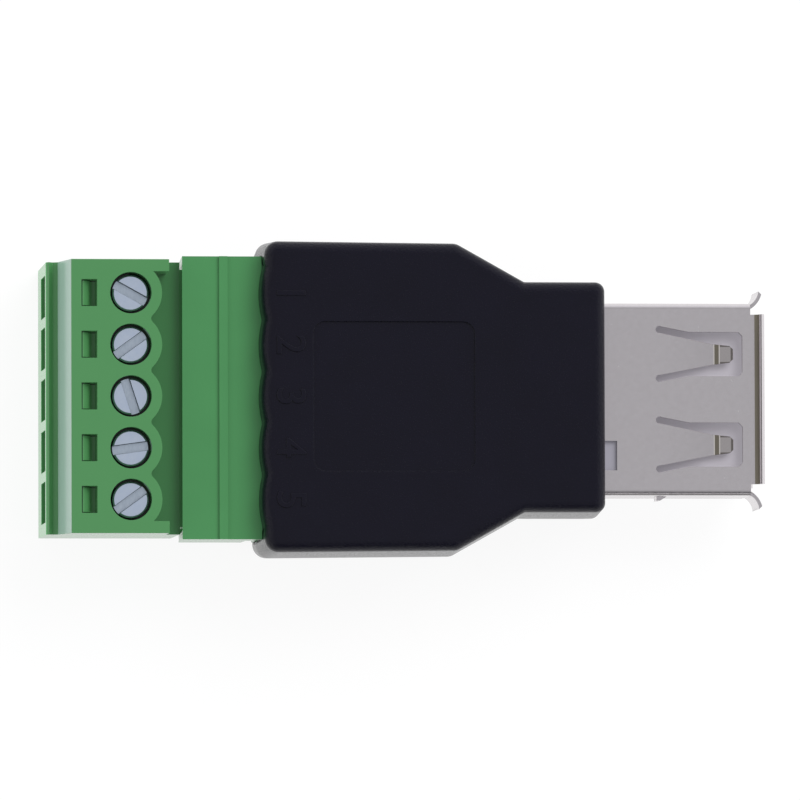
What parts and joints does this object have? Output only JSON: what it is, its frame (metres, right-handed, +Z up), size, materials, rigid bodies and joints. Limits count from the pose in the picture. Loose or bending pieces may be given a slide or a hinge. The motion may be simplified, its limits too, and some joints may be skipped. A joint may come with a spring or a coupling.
{
  "type": "usb terminal block adapter",
  "caption": "Adapter with a receptacle in a black moulded housing and a green pluggable screw terminal block pushed onto its pin header.",
  "frame": {"origin": "in the plane that the adapter rests on, under the middle of its length and width", "axes": "+X along the adapter towards the mouth of the receptacle, +Z up, with the screw heads facing up"},
  "size_m": [0.049, 0.0216, 0.0115],
  "materials": {
    "green plastic": "satin moulded green polyamide",
    "black plastic": "fine grained black moulding",
    "pale plastic": "smooth pale moulding",
    "board laminate": "glass fibre laminate",
    "nickel plate": "satin nickel plated sheet",
    "zinc plated steel": "bright bluish zinc",
    "tinned copper alloy": "matt tin",
    "plated contact strip": "bright gold flash"
  },
  "bodies": {
    "adapter": {"overmould_housing": "black plastic", "header_body": "green plastic", "circuit_board": "board laminate", "usb_shell": "nickel plate", "usb_insulator": "pale plastic", "header_pin_1": "tinned copper alloy", "header_pin_2": "tinned copper alloy", "header_pin_3": "tinned copper alloy", "header_pin_4": "tinned copper alloy", "header_pin_5": "tinned copper alloy", "usb_contact_1": "plated contact strip", "usb_contact_2": "plated contact strip", "usb_contact_3": "plated contact strip", "usb_contact_4": "plated contact strip"},
    "plug": {"plug_body": "green plastic", "plug_contact_1": "tinned copper alloy", "plug_contact_2": "tinned copper alloy", "plug_contact_3": "tinned copper alloy", "plug_contact_4": "tinned copper alloy", "plug_contact_5": "tinned copper alloy"},
    "screw_1": {"clamp_screw_1": "zinc plated steel"},
    "cage_1": {"clamp_cage_1": "tinned copper alloy"},
    "screw_2": {"clamp_screw_2": "zinc plated steel"},
    "cage_2": {"clamp_cage_2": "tinned copper alloy"},
    "screw_3": {"clamp_screw_3": "zinc plated steel"},
    "cage_3": {"clamp_cage_3": "tinned copper alloy"},
    "screw_4": {"clamp_screw_4": "zinc plated steel"},
    "cage_4": {"clamp_cage_4": "tinned copper alloy"},
    "screw_5": {"clamp_screw_5": "zinc plated steel"},
    "cage_5": {"clamp_cage_5": "tinned copper alloy"}
  },
  "joints": [
    {"name": "plug_pull", "type": "slide", "parent": "adapter", "child": "plug", "axis": [-1, 0, 0], "range_m": [0, 0.007]},
    {"name": "screw_turn_1", "type": "hinge", "parent": "plug", "child": "screw_1", "pos_m": [-0.01895, -0.007, 0.0099], "axis": [0, 0, 1], "range_deg": [-1260, 0]},
    {"name": "cage_rise_1", "type": "slide", "parent": "plug", "child": "cage_1", "axis": [0, 0, 1], "range_m": [0, 0.0014]},
    {"name": "screw_turn_2", "type": "hinge", "parent": "plug", "child": "screw_2", "pos_m": [-0.01895, -0.0035, 0.0099], "axis": [0, 0, 1], "range_deg": [-1260, 0]},
    {"name": "cage_rise_2", "type": "slide", "parent": "plug", "child": "cage_2", "axis": [0, 0, 1], "range_m": [0, 0.0014]},
    {"name": "screw_turn_3", "type": "hinge", "parent": "plug", "child": "screw_3", "pos_m": [-0.01895, 0, 0.0099], "axis": [0, 0, 1], "range_deg": [-1260, 0]},
    {"name": "cage_rise_3", "type": "slide", "parent": "plug", "child": "cage_3", "axis": [0, 0, 1], "range_m": [0, 0.0014]},
    {"name": "screw_turn_4", "type": "hinge", "parent": "plug", "child": "screw_4", "pos_m": [-0.01895, 0.0035, 0.0099], "axis": [0, 0, 1], "range_deg": [-1260, 0]},
    {"name": "cage_rise_4", "type": "slide", "parent": "plug", "child": "cage_4", "axis": [0, 0, 1], "range_m": [0, 0.0014]},
    {"name": "screw_turn_5", "type": "hinge", "parent": "plug", "child": "screw_5", "pos_m": [-0.01895, 0.007, 0.0099], "axis": [0, 0, 1], "range_deg": [-1260, 0]},
    {"name": "cage_rise_5", "type": "slide", "parent": "plug", "child": "cage_5", "axis": [0, 0, 1], "range_m": [0, 0.0014]}
  ],
  "couplings": [
    {"joint": "screw_turn_1", "follows": "cage_rise_1", "rad_per_m": -15708},
    {"joint": "screw_turn_2", "follows": "cage_rise_2", "rad_per_m": -15708},
    {"joint": "screw_turn_3", "follows": "cage_rise_3", "rad_per_m": -15708},
    {"joint": "screw_turn_4", "follows": "cage_rise_4", "rad_per_m": -15708},
    {"joint": "screw_turn_5", "follows": "cage_rise_5", "rad_per_m": -15708}
  ]
}
